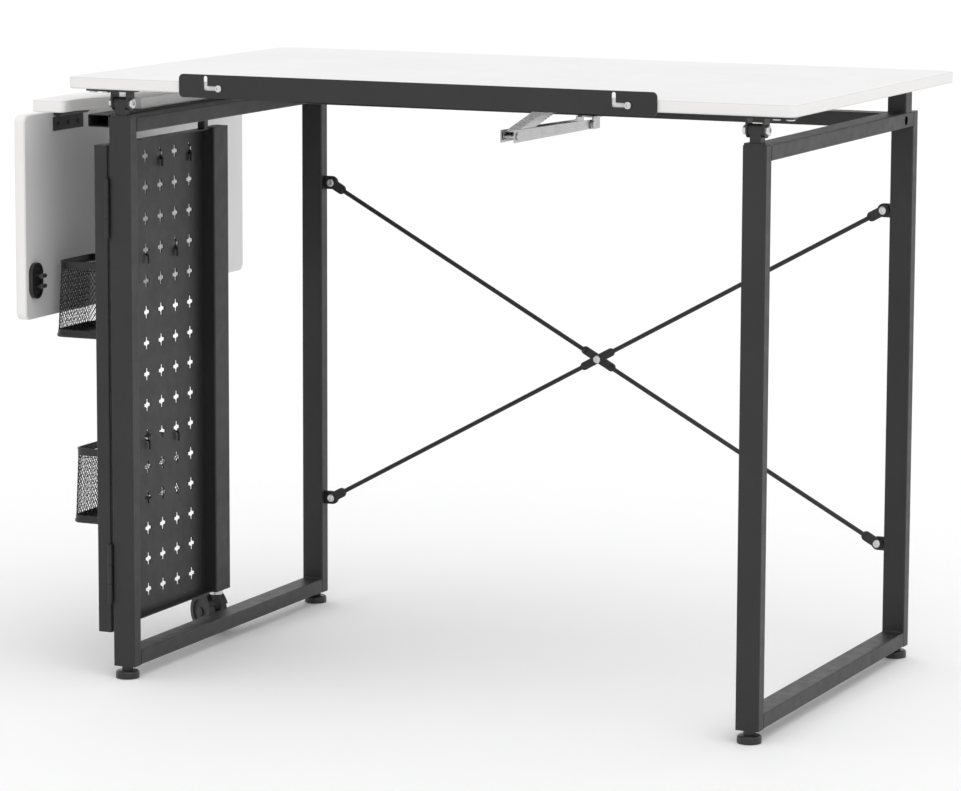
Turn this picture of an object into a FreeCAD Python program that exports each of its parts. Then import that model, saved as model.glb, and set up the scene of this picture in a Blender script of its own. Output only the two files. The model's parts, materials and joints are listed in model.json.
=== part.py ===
import FreeCAD, Part
import math
import os

# Sewing table: two rectangular steel-tube end frames, a rear crossbar and crossed tie rods,
# a tilting top on front pivots with a folding stay, a sliding fabric ledge, a fixed side shelf
# with a drop leaf, and a perforated storage panel that swings out on a caster.
# Millimetres. Layout axes: X to the right along the front, Y to the back, Z up. Layout zero is
# the outer front corner of the left front leg, at the bottom of the leg.

V = FreeCAD.Vector
X_AXIS, Y_AXIS, Z_AXIS = V(1, 0, 0), V(0, 1, 0), V(0, 0, 1)
FIT = 0.05                   # radial clearance of pins and screws in their holes

# End frames
FRAME_W, FRAME_D, FRAME_H = 876.0, 556.0, 700.0
TUBE_W, TUBE_T, WALL = 30.0, 19.0, 1.2
TUBE_CORNER = 2.0

# Tops
BOARD_T = 15.0
TOP_X = (-57.5, 912.0)
TOP_Y = (-3.0, 593.5)
TOP_Z = 734.5
BOARD_CORNER, BOARD_EDGE = 10.0, 2.0

# Levelling feet
FOOT_DROP, FOOT_R, PAD_T, STUD_R = 15.5, 15.0, 9.5, 4.0
INSERT_H = 22.0

# Fasteners: shank radius, shank length, head radius, head height
FRAME_BOLT = (3.0, 13.0, 5.2, 3.5)
TOP_SCREW = (2.0, 12.0, 5.5, 2.0)
LEDGE_SCREW = (2.2, 15.0, 4.5, 2.4)
RAIL_SCREW = (2.0, 26.0, 4.5, 2.0)
HINGE_SCREW = (1.6, 12.0, 3.2, 1.2)
NUT_ACROSS, NUT_H = 10.0, 5.0

# Rear crossbar, risers and tie rods
CROSSBAR_Y = (494.0, 524.0)
CROSSBAR_Z = (FRAME_H - TUBE_T, FRAME_H)
RISER_W, RISER_Y0, PAD_H = 25.0, 508.0, 3.0
ROD_R, ROD_Y = 3.0, 545.0
ROD_Z = (133.0, 570.0)
LUG_REACH = 22.0

# Front pivots of the top
PIVOT_Y, PIVOT_Z, PIVOT_R = 9.5, 717.5, 3.0
EAR_IN, EAR_T, EAR_R = 9.5, 2.5, 9.0

# Fabric ledge on the front edge
LEDGE_X = (103.0, 740.0)
LEDGE_Z = (729.5, 758.5)
LEDGE_T, LEDGE_GAP = 2.0, 0.5
SLOT_W, SLOT_LEFT_X, SLOT_PITCH = 5.6, 139.8, 545.0
SLOT_FOOT, SLOT_RISE, SLOT_LOW_Z = 18.4, 12.6, 741.6

# Side shelf and its rail
SHELF_X = (-111.0, -2.0)
SHELF_Z = 703.0
NOTCH_X, NOTCH_R, NOTCH_STRAIGHT = -64.0, 62.0, 29.0
SHELF_RAIL = ((-30.0, 0.0), (1.0, 555.0), (687.0, 703.0))
SHELF_SCREW_Y = (115.0, 235.0, 375.0, 505.0)

# Drop leaf, hanging
LEAF_X = (-135.0, -120.0)
LEAF_Z = (436.5, 697.5)
FOLD_X, FOLD_Z, FOLD_R = -113.5, 696.5, 5.5
FOLD_Y, FOLD_PLATE = (69.0, 446.5), 2.0
CATCH_Y, CATCH_Z, CATCH_T = 17.5, 486.0, 4.0

# Both kinds of hinge have the same length and the same pin
HINGE_LEN, HINGE_PIN_R, HINGE_PIN_HEAD_R = 75.0, 1.5, 2.6
KNUCKLE_GAP = 0.3

# Swing-out panel, folded flat beside the left frame
PANEL_X = (-23.5, -4.5)
PANEL_Z = (42.0, 664.0)
PANEL_Y = (3.0, 330.0)
HINGE_STILE, FAR_STILE = 20.0, 40.0
SHEET, FLANGE = 1.5, 14.0
PEG_ROWS, PEG_COLS = 15, 6
PEG_R, PEG_ARM, PEG_ARM_W = 4.6, 8.0, 4.4
PEG_PITCH_Z, PEG_PITCH_Y = 40.4, 39.4
PEG_TOP_Z, PEG_FIRST_Y = 639.0, 56.2
SWING_X, SWING_Y, SWING_R = -2.25, -3.2, 3.0
SWING_Z = (81.0, 547.0)

# Caster under the far stile
STEM_X, STEM_Y, STEM_R, TRAIL = -16.5, 310.0, 5.0, 18.0
WHEEL_R, WHEEL_IN, WHEEL_OUT = 25.0, 4.0, 14.5
AXLE_R = 3.0
CASTER_HEADING = 149.5       # direction of the trail, degrees from +X towards +Y

# Mesh cups (outer X, Y span, floor Z, how much wider the floor is) and the row and columns
# of the peg holes that their hooks use
CUP_BACK, CUP_H, CUP_WALL = -25.5, 98.0, 1.5
UPPER_CUP = (-103.5, (50.0, 141.0), 411.0, 4.0)
UPPER_CUP_PEGS = (3, (0, 2))
LOWER_CUP = (-107.0, (94.0, 255.0), 162.0, 3.0)
LOWER_CUP_PEGS = (9, (2, 4))
SINGLE_HOOK_PEGS = ((0, 3), (0, 5), (3, 4))

# Folding stay of the top: middle X, then (Y, Z) of its three pivots
STAY_X = 441.0
STAY_BASE = (486.0, 671.0)
STAY_ELBOW = (245.0, 674.5)
STAY_TOP = (480.0, 723.0)
STAY_PIN_R, STAY_EAR_T, STAY_EAR_GAP = 3.0, 2.0, 0.5
STAY_LOWER_W, STAY_UPPER_W = 10.0, 8.0

# The object's own zero is the middle of the footprint box, on the floor.
LEDGE_FRONT = TOP_Y[0] - LEDGE_GAP - LEDGE_T
ORIGIN = V((LEAF_X[0] + TOP_X[1]) / 2, (LEDGE_FRONT - 2.5 + TOP_Y[1]) / 2, -FOOT_DROP)


def block(x, y, z):
    """Box over three (low, high) spans."""
    return Part.makeBox(x[1] - x[0], y[1] - y[0], z[1] - z[0], V(x[0], y[0], z[0]))


def rod(start, axis, radius, length):
    return Part.makeCylinder(radius, length, start, axis)


def fuse(*shapes):
    return shapes[0].multiFuse(list(shapes[1:])).removeSplitter()


def edges_along(shape, axis):
    """Straight edges of a shape that run along an axis."""
    found = []
    for edge in shape.Edges:
        if isinstance(edge.Curve, Part.Line) and abs(edge.Curve.Direction.dot(axis)) > 0.999:
            found.append(edge)
    return found


def rounded_block(x, y, z, axis, radius):
    """Box whose four edges along one axis are rounded."""
    body = block(x, y, z)
    return body.makeFillet(radius, edges_along(body, axis))


def shrink(span, amount):
    return (span[0] + amount, span[1] - amount)


def tube_core(x, y, z, axis, wall=WALL):
    """Inside of a rectangular tube, as long as the tube."""
    spans = [span if axis.dot(unit) else shrink(span, wall)
             for span, unit in zip((x, y, z), (X_AXIS, Y_AXIS, Z_AXIS))]
    return rounded_block(*spans, axis, TUBE_CORNER - WALL)


def tube(x, y, z, axis, wall=WALL):
    """Rectangular steel tube with rounded corners."""
    return rounded_block(x, y, z, axis, TUBE_CORNER).cut(tube_core(x, y, z, axis, wall))


def hexagon(centre, axis, across, height, bore=0.0):
    """Hexagonal prism along an axis, with an optional bore."""
    side = V(0, 0, 1) if abs(axis.z) < 0.5 else V(1, 0, 0)
    other = axis.cross(side)
    corner = across / math.sqrt(3)
    points = [centre + side * (corner * math.cos(math.radians(60 * i)))
              + other * (corner * math.sin(math.radians(60 * i))) for i in range(6)]
    body = Part.Face(Part.makePolygon(points + points[:1])).extrude(axis * height)
    return body.cut(rod(centre - axis, axis, bore, height + 2)) if bore else body


def pan_screw(seat, axis, size):
    """Pan-head screw: its head stands on the seat, its shank runs along the axis."""
    radius, length, head_r, head_h = size
    head = rod(seat, axis * -1, head_r, head_h)
    rim = [e for e in head.Edges if isinstance(e.Curve, Part.Circle)
           and abs((e.Curve.Center - seat).dot(axis) + head_h) < 0.01]
    head = head.makeFillet(head_h * 0.5, rim)
    slot = hexagon(seat - axis * head_h, axis, head_r * 0.8, head_h * 0.5)
    return fuse(head.cut(slot), rod(seat, axis, radius, length))


def place(name, shape):
    """Write one sub-part, or a group of identical ones, from layout position to its own zero."""
    solids = shape if isinstance(shape, list) else [shape]
    group = Part.makeCompound(solids) if len(solids) > 1 else solids[0]
    group = group.copy()
    group.translate(ORIGIN * -1)
    group.exportStep("parts/" + name + ".step")


def frame_sides():
    """Left and right frame: name, X span of its tubes, direction towards the outside."""
    return (("left", (0.0, TUBE_W), -1), ("right", (FRAME_W - TUBE_W, FRAME_W), 1))


def make_end_frames():
    plugs = []
    for side, x, _ in frame_sides():
        for end, y in (("front", (0.0, TUBE_T)), ("rear", (FRAME_D - TUBE_T, FRAME_D))):
            place(side + "_" + end + "_leg", tube(x, y, (0.0, FRAME_H), Z_AXIS))
            core = tube_core(x, y, (0.0, FRAME_H), Z_AXIS)
            plugs.append(core.common(block(x, y, (FRAME_H - 2.0, FRAME_H))))
            insert = core.common(block(x, y, (0.0, INSERT_H)))
            centre = V(sum(x) / 2, sum(y) / 2, -1)
            plugs.append(insert.cut(rod(centre, Z_AXIS, STUD_R + FIT, INSERT_H + 2)))
        rail_y = (TUBE_T, FRAME_D - TUBE_T)
        place(side + "_bottom_rail", tube(x, rail_y, (0.0, TUBE_T), Y_AXIS))
        place(side + "_top_rail", top_rail(side, x, rail_y))
    place("leg_plugs", plugs)


def crossbar_bolt_seat(side):
    """Inner wall of a top rail where the crossbar bolt passes, and the way into the crossbar."""
    if side == "left":
        return V(TUBE_W - WALL, sum(CROSSBAR_Y) / 2, sum(CROSSBAR_Z) / 2), X_AXIS
    return V(FRAME_W - TUBE_W + WALL, sum(CROSSBAR_Y) / 2, sum(CROSSBAR_Z) / 2), X_AXIS * -1


def top_rail(side, x, y):
    """Top rail with its bolt hole in the inner wall and a wide access hole in the outer wall."""
    seat, inward = crossbar_bolt_seat(side)
    rail = tube(x, y, CROSSBAR_Z, Y_AXIS)
    rail = rail.cut(rod(seat - inward, inward, FRAME_BOLT[0] + FIT, WALL + 2))
    return rail.cut(rod(seat - inward * TUBE_W, inward, 6.0, TUBE_W - 2 * WALL))


def make_crossbar():
    """Crossbar with threaded blocks welded into its ends. Returns its two bolts."""
    x = (TUBE_W, FRAME_W - TUBE_W)
    bar = tube(x, CROSSBAR_Y, CROSSBAR_Z, X_AXIS)
    core = tube_core(x, CROSSBAR_Y, CROSSBAR_Z, X_AXIS)
    bolts = []
    for side, _, _ in frame_sides():
        seat, inward = crossbar_bolt_seat(side)
        face = seat.x + inward.x * WALL
        end_block = core.common(block(sorted((face, face + inward.x * 16)), CROSSBAR_Y, CROSSBAR_Z))
        bar = bar.fuse(end_block).cut(rod(seat, inward, FRAME_BOLT[0] + FIT, 25))
        bolts.append(pan_screw(seat, inward, FRAME_BOLT))
    place("rear_crossbar", bar)
    return bolts


def make_risers():
    risers, pads = [], []
    for _, x, outward in frame_sides():
        outer = x[1] - 0.5 if outward > 0 else x[0] + 0.5
        span = sorted((outer, outer - outward * RISER_W))
        y = (RISER_Y0, RISER_Y0 + RISER_W)
        top = TOP_Z - PAD_H - 0.2
        risers.append(tube(span, y, (FRAME_H, top), Z_AXIS))
        pads.append(rounded_block(span, y, (top, top + PAD_H), Z_AXIS, TUBE_CORNER))
    place("rear_risers", risers)
    place("riser_pads", pads)


def flat_bar(centre, along, across, thickness, length, width):
    """Flat with round ends: centre of its mid-plane, thickness along Y."""
    half = along * ((length - width) / 2)
    low = V(0, -thickness / 2, 0)
    ends = [rod(centre + half * s + low, Y_AXIS, width / 2, thickness) for s in (-1, 1)]
    corners = [centre + half * s + across * (width / 2 * t) + low
               for s, t in ((-1, -1), (1, -1), (1, 1), (-1, 1))]
    middle = Part.Face(Part.makePolygon(corners + corners[:1])).extrude(Y_AXIS * thickness)
    return fuse(middle, *ends)


def lock_nut(seat, axis):
    return hexagon(seat, axis, NUT_ACROSS, NUT_H, FRAME_BOLT[0] + FIT)


def make_tie_rods():
    """Two crossed rods with flattened ends on welded lugs, flattened again where they cross.

    Returns their bolts and nuts."""
    reach_x = LUG_REACH / 2
    lug_x = (TUBE_W + reach_x, FRAME_W - TUBE_W - reach_x)
    tab_t, tab_w, tab_len, tab_shift = 3.0, 13.0, 32.0, 8.0
    mid_len, mid_w, mid_shift, rod_gap = 54.0, 11.0, 1.6, 20.0
    lug_y = (ROD_Y + tab_t / 2, ROD_Y + tab_t / 2 + 3.0)
    lug_r = 9.0
    bolts, nuts, lugs = [], [], []
    for name, z_left, z_right, side in (("rising_tie_rod", *ROD_Z, -1),
                                        ("falling_tie_rod", *ROD_Z[::-1], 1)):
        start, end = V(lug_x[0], ROD_Y, z_left), V(lug_x[1], ROD_Y, z_right)
        along = (end - start).normalize()
        across = along.cross(Y_AXIS)
        middle = (start + end) * 0.5
        reach = (end - start).Length / 2
        pieces = [flat_bar(middle + V(0, side * mid_shift, 0), along, across, tab_t,
                           mid_len, mid_w)]
        for sign in (-1, 1):
            tab = middle + along * (sign * (reach - tab_shift))
            pieces.append(flat_bar(tab, along, across, tab_t, tab_len, tab_w))
            pieces.append(rod(middle + along * (sign * rod_gap), along * sign, ROD_R,
                              reach - 2 * rod_gap))
        bar = fuse(*pieces)
        for point in (start, end, middle):
            bar = bar.cut(rod(point - Y_AXIS * 10, Y_AXIS, FRAME_BOLT[0] + FIT, 20))
        place(name, bar)
        for point, outward in ((start, -1), (end, 1)):
            span = sorted((point.x, point.x + outward * reach_x))
            arm = block(span, lug_y, (point.z - lug_r, point.z + lug_r))
            eye = rod(V(point.x, lug_y[0], point.z), Y_AXIS, lug_r, lug_y[1] - lug_y[0])
            lugs.append(fuse(arm, eye).cut(rod(point, Y_AXIS, FRAME_BOLT[0] + FIT, 20)))
            bolts.append(pan_screw(point - Y_AXIS * (tab_t / 2), Y_AXIS, FRAME_BOLT))
            nuts.append(lock_nut(V(point.x, lug_y[1], point.z), Y_AXIS))
    crossing = Y_AXIS * (mid_shift + tab_t / 2)
    bolts.append(pan_screw(middle - crossing, Y_AXIS, FRAME_BOLT))
    nuts.append(lock_nut(middle + crossing, Y_AXIS))
    place("tie_rod_lugs", lugs)
    return bolts, nuts


def pivot_hinges():
    """Centre X of each front pivot, with the direction towards the outside."""
    return ((TUBE_W / 2, -1), (FRAME_W - TUBE_W / 2, 1))


def hinge_screw_points():
    """Screws of the upper pivot brackets, on the underside of the plate."""
    for centre, outward in pivot_hinges():
        for reach in (23.0, 41.0):
            yield V(centre + outward * reach, PIVOT_Y, TOP_Z - EAR_T)


def pivot_bracket(centre, outward):
    """Upper half of a front pivot: a plate under the top and two tapered ears."""
    axis_start = V(centre, PIVOT_Y, PIVOT_Z)
    plate_x = sorted((centre + outward * 48, centre - outward * 20))
    half = TUBE_T / 2
    pieces = [rounded_block(plate_x, (PIVOT_Y - half, PIVOT_Y + half), (TOP_Z - EAR_T, TOP_Z),
                            Z_AXIS, 3.0)]
    for sign in (-1, 1):
        x = min(centre + sign * EAR_IN, centre + sign * (EAR_IN + EAR_T))
        wide, narrow = half - 0.5, EAR_R
        outline = [V(x, PIVOT_Y - wide, TOP_Z - 1), V(x, PIVOT_Y + wide, TOP_Z - 1),
                   V(x, PIVOT_Y + narrow, PIVOT_Z), V(x, PIVOT_Y - narrow, PIVOT_Z)]
        pieces.append(Part.Face(Part.makePolygon(outline + outline[:1])).extrude(X_AXIS * EAR_T))
        pieces.append(rod(V(x, PIVOT_Y, PIVOT_Z), X_AXIS, EAR_R, EAR_T))
    bracket = fuse(*pieces).cut(rod(axis_start - X_AXIS * 30, X_AXIS, PIVOT_R + FIT, 60))
    return drill(bracket, hinge_screw_points(), Z_AXIS, TOP_SCREW[0] + FIT)


def make_pivots():
    """Front pivots: block on the leg, bracket under the top, bolt and nut. Returns the nuts."""
    bases, brackets, bolts, nuts = [], [], [], []
    for centre, outward in pivot_hinges():
        axis_start = V(centre, PIVOT_Y, PIVOT_Z)
        foot = rounded_block((centre - 14, centre + 14), (0.5, 18.5), (FRAME_H, FRAME_H + 2.5),
                             Z_AXIS, 2.0)
        neck = block((centre - 7, centre + 7), (PIVOT_Y - 7, PIVOT_Y + 7), (FRAME_H, PIVOT_Z))
        barrel = rod(axis_start - X_AXIS * (EAR_IN - 0.5), X_AXIS, 8.0, 2 * EAR_IN - 1)
        bore = rod(axis_start - X_AXIS * 20, X_AXIS, PIVOT_R + FIT, 40)
        bases.append(fuse(foot, neck, barrel).cut(bore))
        brackets.append(pivot_bracket(centre, outward))
        grip = EAR_IN + EAR_T
        bolts.append(pan_screw(axis_start + X_AXIS * grip, X_AXIS * -1,
                               (PIVOT_R, 2 * grip + NUT_H + 1, 6.5, 4.0)))
        nuts.append(lock_nut(axis_start - X_AXIS * (grip + NUT_H), X_AXIS))
    place("pivot_bases", bases)
    place("pivot_brackets", brackets)
    place("pivot_bolts", bolts)
    return nuts


def board(outline, z):
    """Board with small rounded edges at its top and bottom faces."""
    body = Part.Face(outline).extrude(V(0, 0, BOARD_T))
    body.translate(V(0, 0, z))
    rims = []
    for edge in body.Edges:
        heights = {round(vertex.Z, 3) for vertex in edge.Vertexes}
        if len(heights) == 1:
            rims.append(edge)
    return body.makeFillet(BOARD_EDGE, rims)


def rectangle(x, y, radius):
    """Closed wire of a rectangle with round corners, at Z zero."""
    plate = rounded_block(x, y, (0, 1), Z_AXIS, radius)
    face = [f for f in plate.Faces if abs(f.CenterOfMass.z) < 1e-6][0]
    return face.OuterWire


def ledge_screw_points():
    for i in range(2):
        yield V(SLOT_LEFT_X + SLOT_FOOT + i * SLOT_PITCH, TOP_Y[0], SLOT_LOW_Z)


def make_tabletop():
    top = board(rectangle(TOP_X, TOP_Y, BOARD_CORNER), TOP_Z)
    for point in (*hinge_screw_points(), *stay_screw_points()):
        top = top.cut(rod(point, Z_AXIS, TOP_SCREW[0] + FIT, TOP_SCREW[1]))
    for point in ledge_screw_points():
        top = top.cut(rod(point - Y_AXIS, Y_AXIS, LEDGE_SCREW[0] + FIT, LEDGE_SCREW[1]))
    place("tabletop", top)


def make_ledge():
    """Steel ledge with two L-shaped slots; it stands above the top in its raised place."""
    plate_y = (LEDGE_FRONT, LEDGE_FRONT + LEDGE_T)
    plate = rounded_block(LEDGE_X, plate_y, LEDGE_Z, Y_AXIS, 6.0)
    half = SLOT_W / 2
    for i in range(2):
        left = SLOT_LEFT_X + i * SLOT_PITCH
        foot = rounded_block((left - half, left + SLOT_FOOT + half), (plate_y[0] - 1, plate_y[1] + 1),
                             (SLOT_LOW_Z - half, SLOT_LOW_Z + half), Y_AXIS, half * 0.98)
        rise = rounded_block((left - half, left + half), (plate_y[0] - 1, plate_y[1] + 1),
                             (SLOT_LOW_Z - half, SLOT_LOW_Z + SLOT_RISE + half), Y_AXIS, half * 0.98)
        plate = plate.cut(foot).cut(rise)
    place("fabric_ledge", plate)
    seats = [V(point.x, LEDGE_FRONT - 0.1, point.z) for point in ledge_screw_points()]
    place("ledge_screws", [pan_screw(seat, Y_AXIS, LEDGE_SCREW) for seat in seats])


def shelf_outline():
    """Plan of the side shelf: square rear, and a quarter-round notch that clears the front leg."""
    x0, x1 = SHELF_X
    y0, y1 = TOP_Y
    round_r = BOARD_CORNER
    notch_y = y0 + NOTCH_STRAIGHT
    diag = math.sqrt(0.5)
    corner_in = V(x1, notch_y, 0)
    lead = round_r * (1 - diag)
    parts = [
        Part.LineSegment(V(x0 + round_r, y0, 0), V(NOTCH_X - round_r, y0, 0)),
        Part.Arc(V(NOTCH_X - round_r, y0, 0), V(NOTCH_X - lead, y0 + lead, 0),
                 V(NOTCH_X, y0 + round_r, 0)),
        Part.LineSegment(V(NOTCH_X, y0 + round_r, 0), V(NOTCH_X, notch_y, 0)),
        Part.Arc(V(NOTCH_X, notch_y, 0), corner_in + V(-NOTCH_R * diag, NOTCH_R * diag, 0),
                 corner_in + V(0, NOTCH_R, 0)),
        Part.LineSegment(corner_in + V(0, NOTCH_R, 0), V(x1, y1, 0)),
        Part.LineSegment(V(x1, y1, 0), V(x0 + round_r, y1, 0)),
        Part.Arc(V(x0 + round_r, y1, 0), V(x0 + lead, y1 - lead, 0), V(x0, y1 - round_r, 0)),
        Part.LineSegment(V(x0, y1 - round_r, 0), V(x0, y0 + round_r, 0)),
        Part.Arc(V(x0, y0 + round_r, 0), V(x0 + lead, y0 + lead, 0), V(x0 + round_r, y0, 0)),
    ]
    return Part.Wire([part.toShape() for part in parts])


def shelf_screw_points():
    for y in SHELF_SCREW_Y:
        yield V(sum(SHELF_RAIL[0]) / 2, y, SHELF_RAIL[2][0])


def fold_screw_ys():
    for y0 in FOLD_Y:
        for share in (0.16, 0.5, 0.84):
            yield y0 + share * HINGE_LEN


def shelf_hinge_screw_points():
    return [V(FOLD_X + 18, y, SHELF_Z - FOLD_PLATE) for y in fold_screw_ys()]


def leaf_hinge_screw_points():
    return [V(LEAF_X[1] + FOLD_PLATE, y, FOLD_Z - 16) for y in fold_screw_ys()]


def catch_screw_points():
    return [V(LEAF_X[1] + CATCH_T, CATCH_Y, CATCH_Z + dz) for dz in (-15.0, 15.0)]


def make_side_shelf():
    rail = tube(*SHELF_RAIL, Y_AXIS)
    shelf = board(shelf_outline(), SHELF_Z)
    for point in shelf_screw_points():
        bore = rod(point - Z_AXIS, Z_AXIS, RAIL_SCREW[0] + FIT, RAIL_SCREW[1] + 1)
        rail = rail.cut(bore)
        shelf = shelf.cut(bore)
    for point in shelf_hinge_screw_points():
        shelf = shelf.cut(rod(point, Z_AXIS, HINGE_SCREW[0] + FIT, HINGE_SCREW[1]))
    place("shelf_rail", rail)
    place("side_shelf", shelf)
    place("shelf_screws", [pan_screw(p, Z_AXIS, RAIL_SCREW) for p in shelf_screw_points()])


def make_drop_leaf():
    leaf = board(rectangle((0.0, LEAF_Z[1] - LEAF_Z[0]), TOP_Y, BOARD_CORNER), 0.0)
    leaf.rotate(V(0, 0, 0), Y_AXIS, -90)
    leaf.translate(V(LEAF_X[1], 0, LEAF_Z[0]))
    for point in (*leaf_hinge_screw_points(), *catch_screw_points()):
        leaf = leaf.cut(rod(point, X_AXIS * -1, HINGE_SCREW[0] + FIT, HINGE_SCREW[1]))
    place("drop_leaf", leaf)


def middle_knuckle(start):
    """Span of the middle third of a hinge, which is its moving leaf's knuckle."""
    return (start + HINGE_LEN / 3, start + HINGE_LEN * 2 / 3)


def hinge_pin(start, axis):
    """Pin of either kind of hinge, with a small head at its far end."""
    shaft = rod(start - axis * 1.5, axis, HINGE_PIN_R, HINGE_LEN + 3)
    return fuse(shaft, rod(start + axis * HINGE_LEN, axis, HINGE_PIN_HEAD_R, 1.5))


def make_fold_hinges():
    """Two butt hinges under the joint of shelf and leaf, with knuckles that hang below it.

    Returns their pins."""
    fixed, moving, pins = [], [], []
    for y0 in FOLD_Y:
        y = (y0, y0 + HINGE_LEN)
        mid = middle_knuckle(y0)
        start = V(FOLD_X, y0, FOLD_Z)
        barrel = rod(start, Y_AXIS, FOLD_R, HINGE_LEN)
        gap = block((FOLD_X - 9, FOLD_X + FOLD_R + 1), shrink(mid, -KNUCKLE_GAP),
                    (FOLD_Z - 9, SHELF_Z))
        plate = block((FOLD_X, FOLD_X + 26), y, (SHELF_Z - FOLD_PLATE, SHELF_Z))
        bore = rod(start - Y_AXIS, Y_AXIS, HINGE_PIN_R, HINGE_LEN + 2)
        fixed.append(fuse(plate, barrel).cut(gap).cut(bore))

        flap = block((LEAF_X[1], LEAF_X[1] + FOLD_PLATE), y, (FOLD_Z - 24, FOLD_Z))
        for low, high in ((y0 - 1, mid[0] + KNUCKLE_GAP), (mid[1] - KNUCKLE_GAP, y[1] + 1)):
            flap = flap.cut(block((LEAF_X[1] - 1, FOLD_X), (low, high),
                                  (FOLD_Z - FOLD_R - 1, FOLD_Z + 1)))
        knuckle = rod(V(FOLD_X, mid[0] + KNUCKLE_GAP, FOLD_Z), Y_AXIS, FOLD_R,
                      mid[1] - mid[0] - 2 * KNUCKLE_GAP)
        loose_bore = rod(start, Y_AXIS, HINGE_PIN_R + FIT, HINGE_LEN)
        moving.append(fuse(flap, knuckle).cut(loose_bore))
        pins.append(hinge_pin(start, Y_AXIS))
    hole = HINGE_SCREW[0] + FIT
    place("fold_hinge_shelf_leaves",
          [drill(leaf, shelf_hinge_screw_points(), Z_AXIS, hole) for leaf in fixed])
    place("fold_hinge_drop_leaves",
          [drill(leaf, leaf_hinge_screw_points(), X_AXIS, hole) for leaf in moving])
    place("fold_hinge_shelf_screws",
          [pan_screw(point, Z_AXIS, HINGE_SCREW) for point in shelf_hinge_screw_points()])
    return pins


def drill(shape, points, axis, radius):
    """Through holes in a thin plate at its screws."""
    for point in points:
        shape = shape.cut(rod(point - axis * 5, axis, radius, 10))
    return shape


def make_catch():
    """Oval plastic catch plate with two sprung prongs that grip the panel's post."""
    y, z, face = CATCH_Y, CATCH_Z, LEAF_X[1]
    half_y, half_z, rim = 13.5, 23.0, 2.0

    def oval(x, inset):
        return rounded_block(x, (y - half_y + inset, y + half_y - inset),
                             (z - half_z + inset, z + half_z - inset), X_AXIS,
                             half_y - inset - 0.1)

    plate = oval((face, face + CATCH_T), 0)
    lip = oval((face, face + CATCH_T + 1.5), 0).cut(oval((face - 1, face + CATCH_T + 2), rim))
    prongs = []
    for sign in (-1, 1):
        stem = sorted((z + sign * 6.0, z + sign * 8.5))
        prongs.append(block((face + 3, face + 14), (y - 5, y + 5), stem))
        prongs.append(rod(V(face + 13, y - 5, z + sign * 6.5), Y_AXIS, 3.0, 10))
    catch = drill(fuse(plate, lip, *prongs), catch_screw_points(), X_AXIS, HINGE_SCREW[0] + FIT)
    place("leaf_catch", catch)
    place("drop_leaf_screws", [pan_screw(point, X_AXIS * -1, HINGE_SCREW)
                               for point in (*leaf_hinge_screw_points(), *catch_screw_points())])


def peg(row, col):
    """Centre of one peg hole on the outer face of the sheet, counted from the top and hinge."""
    return V(PANEL_X[0], PEG_FIRST_Y + col * PEG_PITCH_Y, PEG_TOP_Z - row * PEG_PITCH_Z)


def peg_centres():
    for row in range(PEG_ROWS):
        for col in range(PEG_COLS):
            centre = peg(row, col)
            yield centre.y, centre.z


def make_panel():
    """Panel: two tube stiles with plastic plugs, and the perforated sheet between them."""
    hinge_y = (PANEL_Y[0], PANEL_Y[0] + HINGE_STILE)
    far_y = (PANEL_Y[1] - FAR_STILE, PANEL_Y[1])
    plugs = []
    for name, y in (("panel_hinge_stile", hinge_y), ("panel_far_stile", far_y)):
        place(name, tube(PANEL_X, y, PANEL_Z, Z_AXIS))
        core = tube_core(PANEL_X, y, PANEL_Z, Z_AXIS)
        plugs.append(core.common(block(PANEL_X, y, (PANEL_Z[1] - 2, PANEL_Z[1]))))
        plugs.append(core.common(block(PANEL_X, y, (PANEL_Z[0], PANEL_Z[0] + INSERT_H))))
    plugs[-1] = plugs[-1].cut(rod(V(STEM_X, STEM_Y, 0), Z_AXIS, STEM_R, FRAME_H))
    place("stile_plugs", plugs)

    web_y = (hinge_y[1], far_y[0])
    face = PANEL_X[0]
    web_z = shrink(PANEL_Z, 1.0)
    flanges = [block((face, face + FLANGE), web_y, z)
               for z in ((web_z[0], web_z[0] + SHEET), (web_z[1] - SHEET, web_z[1]))]
    web = fuse(block((face, face + SHEET), web_y, web_z), *flanges)
    through = (face - 1, face + SHEET + 1)
    crosses = []
    for y, z in peg_centres():
        crosses += [rod(V(through[0], y, z), X_AXIS, PEG_R, SHEET + 2),
                    block(through, (y - PEG_ARM_W / 2, y + PEG_ARM_W / 2), (z - PEG_ARM, z + PEG_ARM)),
                    block(through, (y - PEG_ARM, y + PEG_ARM), (z - PEG_ARM_W / 2, z + PEG_ARM_W / 2))]
    place("peg_sheet", web.cut(crosses))

    top = web_z[1]
    post = V(-14.0, 277.5, top)
    base = block((post.x - 5.5, post.x + 4.5), (post.y - 5, post.y + 5), (top, top + 11))
    place("latch_post", fuse(base, rod(post, Z_AXIS, 3.5, 18), rod(post + Z_AXIS * 18, Z_AXIS, 4.5, 3)))


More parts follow.
